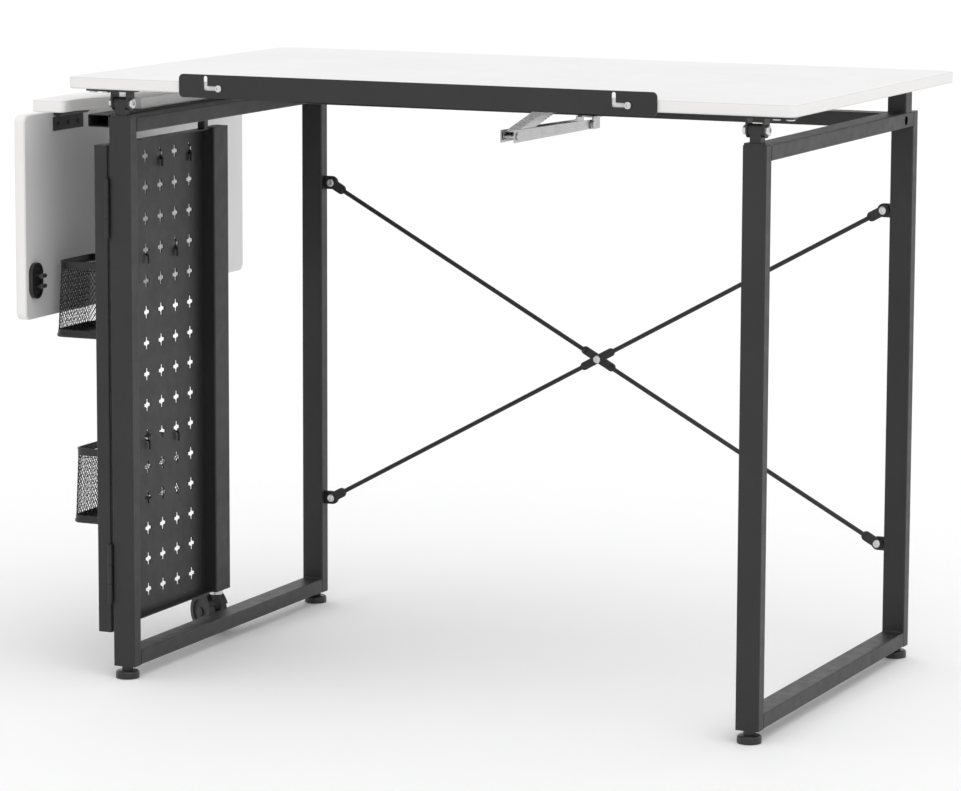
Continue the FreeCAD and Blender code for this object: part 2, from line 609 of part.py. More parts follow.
def make_swing_hinges():
    """Two vertical hinges between the left front leg and the panel, pin line ahead of the leg.

    Returns their pins."""
    fixed, moving, pins = [], [], []
    flap_x = (PANEL_X[1], PANEL_X[1] + SHEET)
    for z0 in SWING_Z:
        z = (z0, z0 + HINGE_LEN)
        mid = middle_knuckle(z0)
        start = V(SWING_X, SWING_Y, z0)
        barrel = rod(start, Z_AXIS, SWING_R, HINGE_LEN)
        gap = block((SWING_X - 4, SWING_X + 4), (SWING_Y - 4, 0.2), shrink(mid, -KNUCKLE_GAP))
        plate = block((-SHEET, 0.0), (SWING_Y, TUBE_T - 1), z)
        bore = rod(start - Z_AXIS, Z_AXIS, HINGE_PIN_R, HINGE_LEN + 2)
        fixed.append(fuse(plate, barrel).cut(gap).cut(bore))

        tight_mid = shrink(mid, KNUCKLE_GAP)
        knuckle = rod(V(SWING_X, SWING_Y, tight_mid[0]), Z_AXIS, SWING_R,
                      tight_mid[1] - tight_mid[0])
        flap = fuse(block(flap_x, (PANEL_Y[0], TUBE_T + 2), z),
                    block(flap_x, (SWING_Y, PANEL_Y[0] + 1), tight_mid), knuckle)
        moving.append(flap.cut(rod(start, Z_AXIS, HINGE_PIN_R + FIT, HINGE_LEN)))
        pins.append(hinge_pin(start, Z_AXIS))
    place("swing_hinge_leg_leaves", fixed)
    place("swing_hinge_panel_leaves", moving)
    return pins


def cup_outline(out_x, y, z, inset, back):
    """Plan of a mesh cup at one height: a rounded rectangle."""
    plate = rounded_block((out_x + inset, back), (y[0] + inset, y[1] - inset), (z, z + 1),
                          Z_AXIS, 12.0)
    face = [f for f in plate.Faces if abs(f.CenterOfMass.z - z) < 1e-6][0]
    return face.OuterWire


def make_cup(name, cup, pegs):
    """Storage cup: it is a little wider at its floor and hangs by two wire hooks."""
    out_x, y, floor, flare = cup
    rim = floor + CUP_H
    inside = CUP_BACK - CUP_WALL
    outer = Part.makeLoft([cup_outline(out_x, y, floor, -flare, CUP_BACK),
                           cup_outline(out_x, y, rim, 0, CUP_BACK)], True)
    inner = Part.makeLoft([cup_outline(out_x, y, floor + CUP_WALL, CUP_WALL - flare, inside),
                           cup_outline(out_x, y, rim + 1, CUP_WALL, inside)], True)
    hooks = []
    wire = 1.5
    back = CUP_BACK - 1.0
    row, cols = pegs
    for col in cols:
        hole = peg(row, col)
        level = hole.z - PEG_ARM + wire + 0.4
        behind = PANEL_X[0] + 5
        hooks += [rod(V(back, hole.y, rim - 8), Z_AXIS, wire, level + 1 - rim + 8),
                  rod(V(back, hole.y, level), X_AXIS, wire, behind - back),
                  rod(V(behind, hole.y, level + 1), Z_AXIS * -1, wire, 12)]
    place(name, fuse(outer.cut(inner), *hooks))


def make_peg_hooks():
    """Single hooks: a plate outside the sheet, a tab through it, and an arm that turns up."""
    hooks = []
    wire, reach = 2.0, 36.0
    for row, col in SINGLE_HOOK_PEGS:
        hole = peg(row, col)
        out = hole.x - wire
        behind = hole.x + 5
        level = hole.z - 20
        tab_z = hole.z - PEG_ARM + wire + 0.4
        plate = rounded_block((out, hole.x - 0.2), (hole.y - 6, hole.y + 6),
                              (hole.z - 26, hole.z + 6), X_AXIS, 4.0)
        hooks.append(fuse(plate,
                          rod(V(out, hole.y, tab_z), X_AXIS, wire, behind - out),
                          rod(V(behind, hole.y, tab_z + wire), Z_AXIS * -1, wire, 13),
                          rod(V(out + 1, hole.y, level), X_AXIS * -1, wire, reach),
                          rod(V(out + 1 - reach, hole.y, level - wire), Z_AXIS, wire, 14)))
    place("peg_hooks", hooks)


def make_caster():
    """Twin-wheel caster: stem in the far stile, hooded body behind it, axle and two wheels."""
    angle = math.radians(CASTER_HEADING)
    trail = V(math.cos(angle), math.sin(angle), 0)
    across = V(-trail.y, trail.x, 0)
    stem = V(STEM_X, STEM_Y, 0)
    hub = stem + trail * TRAIL + V(0, 0, WHEEL_R - FOOT_DROP)
    flange_z, neck_top = 36.0, 35.6
    tail_r, tail_z, shoulder_z = 3.2, 20.0, 32.0
    place("caster_stem", fuse(rod(stem + V(0, 0, tail_z), Z_AXIS, tail_r, shoulder_z - tail_z),
                              rod(stem + V(0, 0, shoulder_z), Z_AXIS, STEM_R, 30),
                              rod(stem + V(0, 0, flange_z), Z_AXIS, 9.5, PANEL_Z[0] - flange_z)))

    def disc(radius, half):
        return rod(hub - across * half, across, radius, 2 * half)

    half_core = WHEEL_IN - 0.4
    hood_low = 22.0
    keep = block((-200, 200), (0, 700), (hood_low, 80.0))
    hood_in, hood_out = WHEEL_R + 0.8, WHEEL_R + 3.0
    hood = fuse(disc(20.0, half_core), disc(hood_out - 1, half_core).common(keep),
                disc(hood_out, WHEEL_OUT).cut(disc(hood_in, WHEEL_OUT + 1)).common(keep),
                rod(stem + V(0, 0, 16), Z_AXIS, 8.0, neck_top - 16),
                rod(stem + trail * 6 + V(0, 0, hood_low), Z_AXIS, 8.0, neck_top - hood_low))
    for sign in (-1, 1):
        hood = hood.cut(rod(hub + across * (sign * half_core), across * sign, hood_in, 20))
    hood = hood.cut([rod(stem + V(0, 0, tail_z - 0.2), Z_AXIS, tail_r + FIT, 30),
                     rod(stem + V(0, 0, shoulder_z - 0.2), Z_AXIS, STEM_R + FIT, 30),
                     rod(stem + V(0, 0, neck_top), Z_AXIS, 11.0, 30),
                     disc(AXLE_R, 30)])
    place("caster_hood", max(hood.Solids, key=lambda solid: solid.Volume))
    axle_half = WHEEL_OUT - 1
    place("caster_axle", disc(AXLE_R, axle_half))

    for name, sign in (("caster_inner_wheel", 1), ("caster_outer_wheel", -1)):
        wheel = rod(hub + across * (sign * WHEEL_IN), across * sign, WHEEL_R, WHEEL_OUT - WHEEL_IN)
        wheel = wheel.makeFillet(1.8, [e for e in wheel.Edges if isinstance(e.Curve, Part.Circle)])
        dish = rod(hub + across * (sign * (WHEEL_OUT - 2.5)), across * sign, 17.0, 5)
        dish = dish.cut(rod(hub, across * sign, 6.0, 40))
        place(name, wheel.cut([dish, rod(hub, across * sign, AXLE_R + FIT, axle_half + FIT)]))


def make_feet():
    """Four levelling feet: round pad, hexagon to turn it by, threaded stud."""
    spots = (("left_front", TUBE_W / 2, TUBE_T / 2), ("right_front", FRAME_W - TUBE_W / 2, TUBE_T / 2),
             ("left_rear", TUBE_W / 2, FRAME_D - TUBE_T / 2),
             ("right_rear", FRAME_W - TUBE_W / 2, FRAME_D - TUBE_T / 2))
    for name, x, y in spots:
        base = V(x, y, -FOOT_DROP)
        pad = rod(base, Z_AXIS, FOOT_R, PAD_T)
        upper = [e for e in pad.Edges if isinstance(e.Curve, Part.Circle)
                 and e.Curve.Center.z > base.z + PAD_T / 2]
        pad = pad.makeFillet(3.0, upper)
        collar = hexagon(base + V(0, 0, PAD_T), Z_AXIS, 14.0, FOOT_DROP - PAD_T - 0.5)
        stud = rod(base + V(0, 0, PAD_T), Z_AXIS, STUD_R, FOOT_DROP - PAD_T + 26)
        place(name + "_foot", fuse(pad, collar, stud))


def stay_screw_points():
    """Screws of the stay's top bracket, on the underside of its plate."""
    return [V(STAY_X, STAY_TOP[0] + dy, TOP_Z - STAY_EAR_T) for dy in (-16.0, 16.0)]


def stay_arm(end, half_w, half_h, web_span, overrun=0.0):
    """Channel-section arm from the elbow to another pivot.

    half_h is its half height at the elbow and at that pivot. web_span is where the web starts
    and stops, measured from the elbow, and on which side of the arm it lies (-1 is below).
    overrun is how far square-cut cheeks run on past the elbow; without it they are round."""
    a, b = V(STAY_X, *STAY_ELBOW), V(STAY_X, *end)
    along = (b - a).normalize()
    up = along.cross(X_AXIS)
    if up.z < 0:
        up = up * -1
    wall = 1.5
    back = a - along * overrun
    pieces = []
    for sign in (-1, 1):
        shift = X_AXIS * (sign * half_w - (wall if sign > 0 else 0))
        corners = [back - up * half_h[0], b - up * half_h[1], b + up * half_h[1],
                   back + up * half_h[0]]
        corners = [corner + shift for corner in corners]
        cheek = Part.Face(Part.makePolygon(corners + corners[:1])).extrude(X_AXIS * wall)
        caps = [rod(b + shift, X_AXIS, half_h[1], wall)]
        if not overrun:
            caps.append(rod(a + shift, X_AXIS, half_h[0], wall))
        pieces.append(fuse(cheek, *caps))
    start, stop, side = web_span
    length = (b - a).Length
    corners = []
    for u, inset in ((start, 0), (stop, 0), (stop, wall), (start, wall)):
        height = half_h[0] + (half_h[1] - half_h[0]) * (u + overrun) / (length + overrun)
        corners.append(a + along * u + up * (side * (height - inset)) - X_AXIS * half_w)
    web = Part.Face(Part.makePolygon(corners + corners[:1])).extrude(X_AXIS * 2 * half_w)
    return fuse(*pieces, web)


def stay_ears(half_w, y, z):
    """Pair of bracket ears just outside an arm, as blocks over a Y and a Z span."""
    inner = half_w + STAY_EAR_GAP
    return [block(sorted((STAY_X + sign * inner, STAY_X + sign * (inner + STAY_EAR_T))), y, z)
            for sign in (-1, 1)]


def ear_ends(pivot, half_w, radius):
    inner = half_w + STAY_EAR_GAP
    return [rod(pivot + X_AXIS * (sign * inner), X_AXIS * sign, radius, STAY_EAR_T)
            for sign in (-1, 1)]


def make_stay():
    """Folding stay: bracket on the crossbar, two nested channel arms, bracket under the top."""
    base, elbow, top = (V(STAY_X, *point) for point in (STAY_BASE, STAY_ELBOW, STAY_TOP))

    def bore(point, radius):
        return rod(point - X_AXIS * 20, X_AXIS, radius, 40)

    under = CROSSBAR_Z[0]
    plate = rounded_block((STAY_X - 14, STAY_X + 14), CROSSBAR_Y, (under - STAY_EAR_T, under),
                          Z_AXIS, 2.0)
    ears = stay_ears(STAY_LOWER_W, (base.y, CROSSBAR_Y[0] + 14), (base.z - 6.5, under))
    bracket = fuse(plate, *ears, *ear_ends(base, STAY_LOWER_W, 6.5))
    bracket = bracket.cut(block((STAY_X - 20, STAY_X + 20), CROSSBAR_Y, (under, under + 5)))
    place("stay_base_bracket", bracket.cut(bore(base, STAY_PIN_R)))

    plate = rounded_block((STAY_X - 12, STAY_X + 12), (top.y - 24, top.y + 24),
                          (TOP_Z - STAY_EAR_T, TOP_Z), Z_AXIS, 4.0)
    ears = stay_ears(STAY_UPPER_W, (top.y - 7.5, top.y + 7.5), (top.z, TOP_Z - 1))
    bracket = fuse(plate, *ears, *ear_ends(top, STAY_UPPER_W, 7.5)).cut(bore(top, STAY_PIN_R))
    place("stay_top_bracket", drill(bracket, stay_screw_points(), Z_AXIS, TOP_SCREW[0] + FIT))

    lower = stay_arm(STAY_BASE, STAY_LOWER_W, (8.0, 6.0), (36.0, 228.0, -1), overrun=9.0)
    lower = lower.cut([bore(base, STAY_PIN_R + FIT), bore(elbow, STAY_PIN_R)])
    place("stay_lower_arm", lower)

    upper = stay_arm(STAY_TOP, STAY_UPPER_W, (5.5, 5.5), (4.0, 222.0, 1))
    notches = [bore(elbow + V(0, 92 + 9 * i, 13.6 + 1.86 * i), 2.2) for i in range(5)]
    place("stay_upper_arm", upper.cut([bore(top, STAY_PIN_R + FIT), *notches]))

    rivets = []
    for sign in (-1, 1):
        outward = X_AXIS * sign
        face = elbow + outward * STAY_LOWER_W
        rivets.append(fuse(rod(face - outward * 1.5, outward, STAY_PIN_R, 1.5),
                           rod(face, outward, 5.0, 1.5)))
    place("stay_elbow_rivets", rivets)
    for name, point, half_w in (("stay_base_pin", base, STAY_LOWER_W),
                                ("stay_top_pin", top, STAY_UPPER_W)):
        half = half_w + STAY_EAR_GAP + STAY_EAR_T
        heads = [rod(point + X_AXIS * (sign * half), X_AXIS * sign, 4.8, 1.4) for sign in (-1, 1)]
        place(name, fuse(rod(point - X_AXIS * half, X_AXIS, STAY_PIN_R, 2 * half), *heads))


def main():
    os.makedirs("parts", exist_ok=True)
    make_end_frames()
    make_risers()
    make_feet()
    crossbar_bolts = make_crossbar()
    rod_bolts, rod_nuts = make_tie_rods()
    pivot_nuts = make_pivots()
    place("frame_bolts", crossbar_bolts + rod_bolts)
    place("lock_nuts", rod_nuts + pivot_nuts)
    make_tabletop()
    place("tabletop_screws", [pan_screw(point, Z_AXIS, TOP_SCREW)
                              for point in (*hinge_screw_points(), *stay_screw_points())])
    make_ledge()
    make_stay()
    make_side_shelf()
    make_drop_leaf()
    make_catch()
    make_panel()
    place("hinge_pins", make_fold_hinges() + make_swing_hinges())
    make_caster()
    make_cup("upper_mesh_cup", UPPER_CUP, UPPER_CUP_PEGS)
    make_cup("lower_mesh_cup", LOWER_CUP, LOWER_CUP_PEGS)
    make_peg_hooks()


main()
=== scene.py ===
import json
import math

import bmesh
import bpy
from mathutils import Matrix, Vector


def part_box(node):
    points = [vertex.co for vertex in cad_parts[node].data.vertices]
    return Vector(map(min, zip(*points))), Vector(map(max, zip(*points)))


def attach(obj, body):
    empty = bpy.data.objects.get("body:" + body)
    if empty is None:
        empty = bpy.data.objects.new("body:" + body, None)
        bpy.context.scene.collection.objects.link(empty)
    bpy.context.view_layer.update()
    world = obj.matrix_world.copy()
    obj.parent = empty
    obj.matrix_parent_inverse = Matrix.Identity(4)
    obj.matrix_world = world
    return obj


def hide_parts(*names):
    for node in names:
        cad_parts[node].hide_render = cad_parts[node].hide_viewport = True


# Looks of the sewing table: finishes for its CAD nodes, expanded-metal cups, wire hooks, stay
# spacer, weld beads, floor, light and camera. Lengths are in millimetres in layout axes (zero at the left
# front leg's outer front corner, on its lower end) until at() turns them into metres in the
# row frame.

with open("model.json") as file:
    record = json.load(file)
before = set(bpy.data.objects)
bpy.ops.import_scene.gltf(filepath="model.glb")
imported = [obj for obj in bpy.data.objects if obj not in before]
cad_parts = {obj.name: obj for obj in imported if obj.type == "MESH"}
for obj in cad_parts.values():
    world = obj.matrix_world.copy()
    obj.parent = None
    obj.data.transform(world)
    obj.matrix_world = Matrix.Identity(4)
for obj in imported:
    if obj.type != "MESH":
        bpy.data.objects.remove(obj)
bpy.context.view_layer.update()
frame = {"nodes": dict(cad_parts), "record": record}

LAYOUT_ZERO = Vector((-388.5, -292.75, 15.5))
MM = 0.001

FRAME_W, FRAME_D, FRAME_H = 876.0, 556.0, 700.0
TUBE_W, TUBE_T = 30.0, 19.0

# Panel sheet: its outer face, and where a hook's tail hangs behind it
SHEET_X = -23.5
TAIL_X = SHEET_X + 5.0

# Mesh cups: outer X, Y span, floor Z, how much wider the floor is, peg columns and peg row
CUP_BACK, CUP_H, CUP_CORNER = -25.5, 98.0, 12.0
CUPS = (
    ("upper_mesh_cup", -103.5, (50.0, 141.0), 411.0, 4.0, (0, 2), 3),
    ("lower_mesh_cup", -107.0, (94.0, 255.0), 162.0, 3.0, (2, 4), 9),
)
CELL_W, CELL_H, STRAND = 5.2, 8.4, 1.0
RIM_H, BASE_H = 9.5, 9.5
LATTICE_TUCK = 2.0           # how far the lattice runs on behind each band
RIM_PROUD, RIM_T, RIM_BEAD = 0.4, 0.9, 1.4

# Sections of the base band and of the tray's edge, as (proud, height) loops, and the tray's
# flat bottom as its proud and its two heights
BASE_SECTION = ((-1.2, 0.0), (0.6, 0.2), (1.3, 1.0), (1.6, 2.4), (1.3, 3.8), (0.6, 4.6),
                (0.4, BASE_H), (-0.5, BASE_H), (-0.5, 4.8), (-1.2, 3.0))
TRAY_SECTION = ((-1.0, 0.8), (-1.0, 2.0), (-4.0, 2.0), (-5.5, 1.5), (-5.5, 0.7), (-4.0, 0.8))
TRAY_PROUD, TRAY_Z = -5.3, (0.7, 1.5)

# Cup hooks: wire radius, bend radius, stand-off behind the cup, foot below the rim, tail length
CUP_WIRE, CUP_BEND, CUP_STAND_OFF, CUP_FOOT, CUP_TAIL = 1.5, 2.2, 2.2, 15.5, 12.0
CUP_WIRE_LIFT = 2.0          # from the lower end of a peg hole's slot to the wire's centre

PEG_PITCH_Z, PEG_PITCH_Y = 40.4, 39.4
PEG_TOP_Z, PEG_FIRST_Y, PEG_ARM = 639.0, 56.2, 8.0

# Single hooks: peg row and column of each, wire and bend radii, and places about the peg hole
SINGLE_HOOK_PEGS = ((0, 3), (0, 5), (3, 4))
HOOK_WIRE, TAB_BEND, ARM_BEND = 2.0, 2.4, 5.0
PLATE_X, PLATE_HALF_Y, PLATE_Z = (-2.2, -0.2), 6.0, (-26.0, 6.0)
PLATE_CORNER, PLATE_EDGE = 4.0, 0.8
TAB_LIFT, TAB_TAIL = 2.4, 11.0
ARM_REACH, ARM_Z, ARM_TIP_Z = 37.0, (-20.0, -22.0), -8.0

# Spacer bar in the folding stay's elbow: middle, half length, radius
STAY_ELBOW = (441.0, 242.0, 673.5)
SPACER_HALF, SPACER_R = 7.6, 1.7

WELD_SIZE, WELD_INSET = 1.9, 3.0

FLOOR_HALF, FLOOR_Z = 60.0, -0.0004          # metres, just under the feet
SKY_AXIS, SKY_STRENGTH, SKY_SPAN = (-0.35, 0.80, 0.48), (0.72, 0.98), 0.9
KEY_FROM, KEY_ENERGY, KEY_ANGLE = (0.55, -0.60, 1.0), 0.8, 70.0

# Camera: its place in metres in the row frame, and its angles in degrees
LENS, SENSOR, CLIP_END = 159.31, 36.0, 300.0
CAMERA_AT = Vector((2.21655, -4.94008, 1.17495))
CAMERA_YAW, CAMERA_PITCH, CAMERA_ROLL = 24.2521, 8.6726, 0.2135


def at(x, y, z):
    """Row-frame point, in metres, of a layout point in millimetres."""
    return (Vector((x, y, z)) + LAYOUT_ZERO) * MM


# ---------------------------------------------------------------- materials


def new_material(name, **values):
    """Material with one Principled shader; underscores in a value's name stand for spaces."""
    made = bpy.data.materials.new(name)
    made.use_nodes = True
    shader = made.node_tree.nodes["Principled BSDF"]
    for key, value in values.items():
        shader.inputs[key.replace("_", " ")].default_value = value
    return made, made.node_tree, shader


def add(tree, kind, inputs=None, **settings):
    """One node. inputs maps a socket's name or number to a value or another node's output."""
    node = tree.nodes.new(kind)
    for key, value in settings.items():
        setattr(node, key, value)
    for key, value in (inputs or {}).items():
        if isinstance(value, bpy.types.NodeSocket):
            tree.links.new(value, node.inputs[key])
        else:
            node.inputs[key].default_value = value
    return node


def object_point(tree, stretch):
    """Position in the piece's own axes, stretched by a factor along each."""
    point = add(tree, "ShaderNodeTexCoord").outputs["Object"]
    return add(tree, "ShaderNodeMapping", {"Vector": point, "Scale": stretch}).outputs[0]


def noise(tree, scale, detail=2.0, stretch=(1, 1, 1)):
    """Noise in the piece's own axes; scale counts its waves per metre."""
    point = object_point(tree, stretch)
    return add(tree, "ShaderNodeTexNoise",
               {"Vector": point, "Scale": scale, "Detail": detail}).outputs[0]


def spread(tree, value, low, high, start=0.3, stop=0.7):
    """Value remapped from start..stop to low..high."""
    return add(tree, "ShaderNodeMapRange", {"Value": value, "From Min": start, "From Max": stop,
                                            "To Min": low, "To Max": high}).outputs[0]


def math_node(tree, operation, *values):
    return add(tree, "ShaderNodeMath", dict(enumerate(values)), operation=operation).outputs[0]


def blend_colours(tree, factor, a, b):
    return add(tree, "ShaderNodeMix", {0: factor, 6: a, 7: b}, data_type="RGBA").outputs[2]


def grey(level, warmth=0.0):
    """Opaque near-grey; warmth raises red and lowers blue."""
    return (level * (1 + warmth), level, level * (1 - warmth), 1.0)


def link_normal(tree, shader, heights):
    """Chain of bumps: (height, strength, distance in metres) for each layer."""
    normal = None
    for height, strength, distance in heights:
        inputs = {"Height": height, "Strength": strength, "Distance": distance}
        if normal is not None:
            inputs["Normal"] = normal
        normal = add(tree, "ShaderNodeBump", inputs).outputs[0]
    tree.links.new(normal, shader.inputs["Normal"])


def powder_coat():
    """Charcoal powder coat: fine orange peel, faint cloudiness and dust-fine speckle."""
    made, tree, shader = new_material("charcoal_powder_coat", Specular_IOR_Level=0.42)
    clouds = noise(tree, 9.0, 3.0)
    speckle = noise(tree, 2600.0, 1.0)
    base = blend_colours(tree, spread(tree, clouds, 0.0, 1.0), grey(0.016), grey(0.021))
    colour = blend_colours(tree, spread(tree, speckle, 0.0, 0.5, 0.55, 0.75), base, grey(0.034))
    tree.links.new(colour, shader.inputs["Base Color"])
    tree.links.new(spread(tree, noise(tree, 60.0), 0.40, 0.50), shader.inputs["Roughness"])
    link_normal(tree, shader, [(noise(tree, 700.0), 0.22, 0.0006),
                               (noise(tree, 2400.0), 0.18, 0.0002)])
    return made


def board_finish(name, axis, low, high):
    """White melamine board with an edge band: a warmer tone and a hairline seam on each side.

    axis is the board's thickness axis, low and high its faces along it, in metres."""
    made, tree, shader = new_material(name, Specular_IOR_Level=0.5)
    coords = add(tree, "ShaderNodeTexCoord")
    place = add(tree, "ShaderNodeSeparateXYZ", {0: coords.outputs["Object"]}).outputs[axis]
    facing = add(tree, "ShaderNodeSeparateXYZ", {0: coords.outputs["Normal"]}).outputs[axis]
    depth = math_node(tree, "ABSOLUTE", math_node(tree, "SUBTRACT", place, (low + high) / 2))
    half = (high - low) / 2
    on_edge = math_node(tree, "LESS_THAN", math_node(tree, "ABSOLUTE", facing), 0.75)
    seam_at = half - 1.1 * MM
    from_seam = math_node(tree, "ABSOLUTE", math_node(tree, "SUBTRACT", depth, seam_at))
    seam = math_node(tree, "MULTIPLY", on_edge,
                     spread(tree, from_seam, 1.0, 0.0, 0.08 * MM, 0.32 * MM))

    clouds = noise(tree, 5.0, 3.0)
    flecks = noise(tree, 1500.0, 2.0)
    face = blend_colours(tree, spread(tree, clouds, 0.0, 1.0), grey(0.79), grey(0.83))
    face = blend_colours(tree, spread(tree, flecks, 0.0, 0.25, 0.5, 0.7), face, grey(0.72, 0.01))
    lines = noise(tree, 90.0, 2.0, tuple(0.02 if i != axis else 1.0 for i in range(3)))
    band = blend_colours(tree, spread(tree, lines, 0.0, 1.0), grey(0.79, 0.012), grey(0.83, 0.008))
    colour = blend_colours(tree, on_edge, face, band)
    colour = blend_colours(tree, math_node(tree, "MULTIPLY", seam, 0.45), colour,
                           grey(0.36, 0.05))
    tree.links.new(colour, shader.inputs["Base Color"])
    rough = math_node(tree, "ADD", spread(tree, noise(tree, 30.0), 0.36, 0.46),
                      math_node(tree, "MULTIPLY", on_edge, -0.06))
    tree.links.new(rough, shader.inputs["Roughness"])
    sunk = math_node(tree, "MULTIPLY", seam, -1.0)
    link_normal(tree, shader, [(noise(tree, 1700.0), 0.10, 0.0002),
                               (noise(tree, 260.0), 0.04, 0.0004), (sunk, 0.5, 0.0002)])
    return made


def plated(name, level, warmth, rough, streaks):
    """Plated steel: drawn streaks in its sheen and faint cloudiness in its colour."""
    made, tree, shader = new_material(name, Metallic=1.0)
    clouds = noise(tree, 45.0, 3.0)
    colour = blend_colours(tree, spread(tree, clouds, 0.0, 1.0), grey(level * 0.9, warmth),
                           grey(level, warmth * 0.5))
    tree.links.new(colour, shader.inputs["Base Color"])
    drawn = noise(tree, 500.0, 3.0, streaks)
    tree.links.new(spread(tree, drawn, rough - 0.07, rough + 0.09), shader.inputs["Roughness"])
    link_normal(tree, shader, [(drawn, 0.10, 0.0001), (noise(tree, 1500.0), 0.06, 0.0001)])
    return made


def moulded(name, level, rough, grain, relief):
    """Moulded plastic or rubber with a fine spark-eroded grain."""
    made, tree, shader = new_material(name, Specular_IOR_Level=0.5)
    clouds = noise(tree, 30.0, 3.0)
    colour = blend_colours(tree, spread(tree, clouds, 0.0, 1.0), grey(level), grey(level * 1.5))
    tree.links.new(colour, shader.inputs["Base Color"])
    tree.links.new(spread(tree, noise(tree, 220.0), rough - 0.06, rough + 0.06),
                   shader.inputs["Roughness"])
    link_normal(tree, shader, [(noise(tree, grain), relief, 0.0002)])
    return made


def wire_coat():
    """Black dipped coat of the cups and hooks: a little glossier than the frame, with sags."""
    made, tree, shader = new_material("black_wire_coat", Specular_IOR_Level=0.5)
    base = blend_colours(tree, spread(tree, noise(tree, 25.0, 3.0), 0.0, 1.0), grey(0.010),
                         grey(0.018))
    tree.links.new(base, shader.inputs["Base Color"])
    tree.links.new(spread(tree, noise(tree, 140.0), 0.30, 0.42), shader.inputs["Roughness"])
    link_normal(tree, shader, [(noise(tree, 900.0), 0.25, 0.0003)])
    return made


FINISHES = {
    "powder_coat": powder_coat(),
    "zinc_plated": plated("bright_zinc_plate", 0.72, -0.015, 0.30, (1, 1, 0.12)),
    "bright_steel": plated("polished_nickel_plate", 0.50, 0.0, 0.24, (1, 0.06, 1)),
    "black_plastic": moulded("black_moulded_nylon", 0.014, 0.36, 1300.0, 0.22),
    "grey_rubber": moulded("dark_grey_rubber", 0.045, 0.72, 800.0, 0.35),
    "black_wire": wire_coat(),
}
# Board nodes with their thickness axis
BOARDS = {"tabletop": 2, "side_shelf": 2, "drop_leaf": 0}


def finish_cad_nodes():
    slots = {part["node"]: part["material_slot"] for part in frame["record"]["subparts"]}
    for name, node in frame["nodes"].items():
        if name in BOARDS:
            axis = BOARDS[name]
            low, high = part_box(name)
            chosen = board_finish(name + "_melamine", axis, low[axis], high[axis])
        else:
            chosen = FINISHES[slots[name]]
        node.data.materials.clear()
        node.data.materials.append(chosen)


finish_cad_nodes()


# ---------------------------------------------------------------- mesh helpers


def piece(name, verts, faces, body, slot):
    """Mesh object in the row frame that rides on a body and wears its slot's finish."""
    mesh = bpy.data.meshes.new(name)
    mesh.from_pydata(verts, [], faces)
    work = bmesh.new()
    work.from_mesh(mesh)
    bmesh.ops.recalc_face_normals(work, faces=work.faces)
    work.to_mesh(mesh)
    work.free()
    made = bpy.data.objects.new(name, mesh)
    bpy.context.scene.collection.objects.link(made)
    mesh.materials.append(FINISHES[slot])
    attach(made, body)
    return made


def smooth(made, angle=40.0):
    """Smooth shading with edges sharper than the angle kept crisp."""
    mesh = made.data
    mesh.shade_smooth()
    mesh.set_sharp_from_angle(angle=math.radians(angle))
    return made


class Parts:
    """Vertices and faces of several closed shapes gathered into one mesh."""

    def __init__(self):
        self.verts, self.faces = [], []

    def grow(self, verts, faces):
        start = len(self.verts)
        self.verts += verts
        self.faces += [tuple(start + i for i in face) for face in faces]


def loft(rings, ring_closed=False):
    """Quads between rings of equal length.

    ring_closed joins the last ring to the first; otherwise the two ends are capped."""
    count = len(rings[0])
    verts = [point for ring in rings for point in ring]
    faces = []
    pairs = len(rings) if ring_closed else len(rings) - 1
    for i in range(pairs):
        a, b = i * count, ((i + 1) % len(rings)) * count
        faces += [(a + j, a + (j + 1) % count, b + (j + 1) % count, b + j)
                  for j in range(count)]
    if not ring_closed:
        faces.append(tuple(range(count))[::-1])
        faces.append(tuple(range((len(rings) - 1) * count, len(rings) * count)))
    return verts, faces


def bent_path(points, radius, steps=6):
    """Polyline with each inner corner replaced by an arc of the given radius."""
    points = [Vector(p) for p in points]
    path = [points[0]]
    for before, corner, after in zip(points, points[1:], points[2:]):
        a, b = (before - corner).normalized(), (after - corner).normalized()
        half = a.angle(b) / 2
        reach = radius / math.tan(half)
        centre = corner + (a + b).normalized() * (radius / math.sin(half))
        start, stop = corner + a * reach - centre, corner + b * reach - centre
        turn = start.angle(stop)
        axis = start.cross(stop).normalized()
        for i in range(steps + 1):
            path.append(centre + Matrix.Rotation(turn * i / steps, 3, axis) @ start)
    path.append(points[-1])
    return path


# Rounding of a wire's end: distance from the tip and share of the radius there, in radii
DOME = ((0.0, 0.25), (0.25, 0.7), (0.65, 0.95), (0.95, 1.0))


def wire(points, radius, bend=1.0, sides=12):
    """Round wire through layout points, with rounded corners and domed ends."""
    path = bent_path(points, bend)
    last = len(path) - 1
    rings = []
    side = None
    for i, point in enumerate(path):
        before, after = path[max(i - 1, 0)], path[min(i + 1, last)]
        along = (after - before).normalized()
        if side is None:
            side = along.orthogonal().normalized()
        side = (side - along * side.dot(along)).normalized()
        other = along.cross(side)
        stations = ((0.0, 1.0),)
        if i == 0:
            stations = DOME
        elif i == last:
            stations = [(-shift, share) for shift, share in reversed(DOME)]
        for shift, share in stations:
            centre = point + along * (radius * shift)
            ring = []
            for j in range(sides):
                turn = 2 * math.pi * j / sides
                spoke = side * math.cos(turn) + other * math.sin(turn)
                ring.append(at(*(centre + spoke * (radius * share))))
            rings.append(ring)
    return loft(rings)


# ---------------------------------------------------------------- mesh cups


def peg(row, column):
    """Y and Z of a peg hole's centre, counted from the top and from the panel's hinge."""
    return PEG_FIRST_Y + column * PEG_PITCH_Y, PEG_TOP_Z - row * PEG_PITCH_Z


